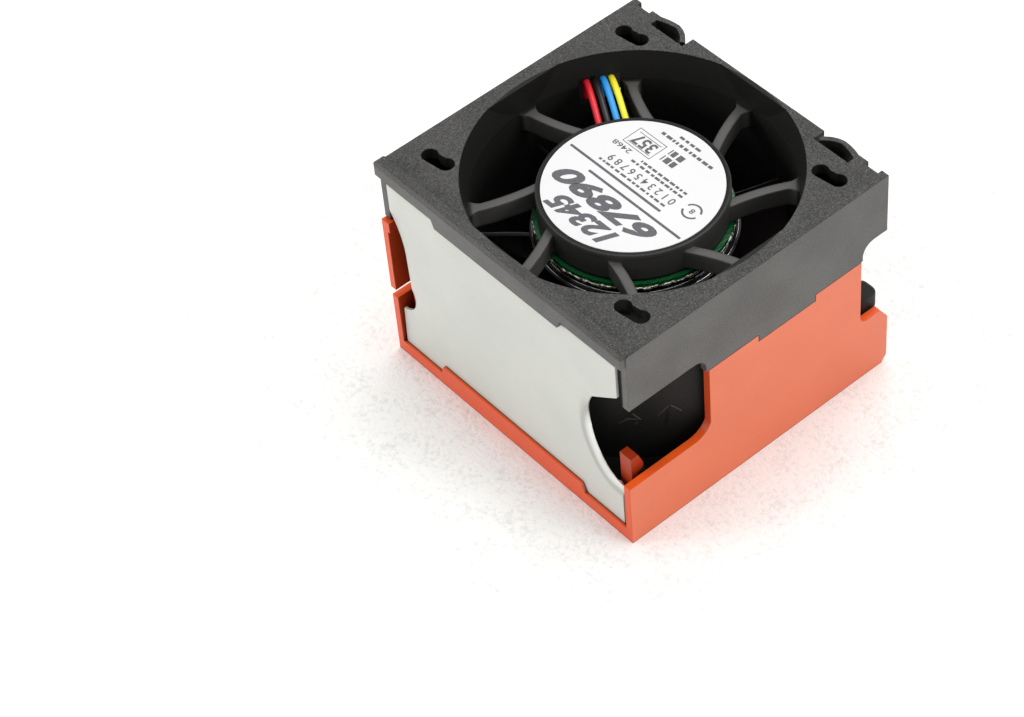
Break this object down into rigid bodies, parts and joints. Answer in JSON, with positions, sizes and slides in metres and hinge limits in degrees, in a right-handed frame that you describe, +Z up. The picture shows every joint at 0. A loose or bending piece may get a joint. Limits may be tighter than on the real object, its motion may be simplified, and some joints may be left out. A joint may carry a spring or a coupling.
{
  "type": "server fan module",
  "caption": "Hot-swap axial fan module for a rack server: a ducted fan with its motor in a square black housing, clipped into an orange carrier with a latch arm and a cover plate.",
  "frame": {"origin": "middle of the module's footprint, on the plane that it stands on", "axes": "+Z up along the fan axis towards the exhaust, -Y towards the cover plate, +X towards the side with the stepped skirt"},
  "size_m": [0.0672, 0.066, 0.051],
  "materials": {
    "black_housing": "fine spark-textured black glass-filled plastic",
    "orange_plastic": "moulded orange plastic",
    "plate_metal": "light grey satin sheet",
    "label_paper": "white satin label",
    "board_green": "green solder mask",
    "chip_black": "moulded black",
    "core_steel": "plated steel",
    "insulator_white": "natural plastic",
    "winding_copper": "enamelled copper wire",
    "sleeve_brass": "turned brass",
    "bearing_steel": "ground steel",
    "impeller_black": "smooth black plastic",
    "magnet_dark": "bonded ferrite strip",
    "wire_red": "smooth insulation",
    "wire_black": "smooth insulation",
    "wire_blue": "smooth insulation",
    "wire_yellow": "smooth insulation",
    "connector_cream": "natural nylon",
    "contact_brass": "plated contact"
  },
  "bodies": {
    "casing": {"fan_housing": "black_housing", "carrier": "orange_plastic", "cover_plate": "plate_metal", "hub_label": "label_paper", "circuit_board": "board_green", "board_chips": "chip_black", "board_capacitors": "chip_black", "stator_core": "core_steel", "stator_insulator": "insulator_white", "windings": "winding_copper", "bearing_sleeve": "sleeve_brass", "upper_bearing_outer_ring": "bearing_steel", "lower_bearing_outer_ring": "bearing_steel", "upper_bearing_shields": "bearing_steel", "lower_bearing_shields": "bearing_steel", "wire_red": "wire_red", "wire_black": "wire_black", "wire_blue": "wire_blue", "wire_yellow": "wire_yellow", "connector_housing": "connector_cream", "connector_contacts": "contact_brass"},
    "rotor": {"impeller": "impeller_black", "rotor_yoke": "core_steel", "magnet_ring": "magnet_dark", "shaft": "bearing_steel", "shaft_clip": "bearing_steel", "preload_spring": "bearing_steel", "upper_bearing_inner_ring": "bearing_steel", "lower_bearing_inner_ring": "bearing_steel"},
    "release_arm": {"release_arm": "orange_plastic"}
  },
  "joints": [
    {"name": "fan_spin", "type": "hinge", "parent": "casing", "child": "rotor", "pos_m": [0, 0, 0.0272], "axis": [0, 0, 1], "continuous": true},
    {"name": "release_press", "type": "hinge", "parent": "casing", "child": "release_arm", "pos_m": [-0.03285, -0.01395, 0.02425], "axis": [0, 0, 1], "range_deg": [0, 3], "stiffness_Nm_per_rad": 0.5}
  ]
}
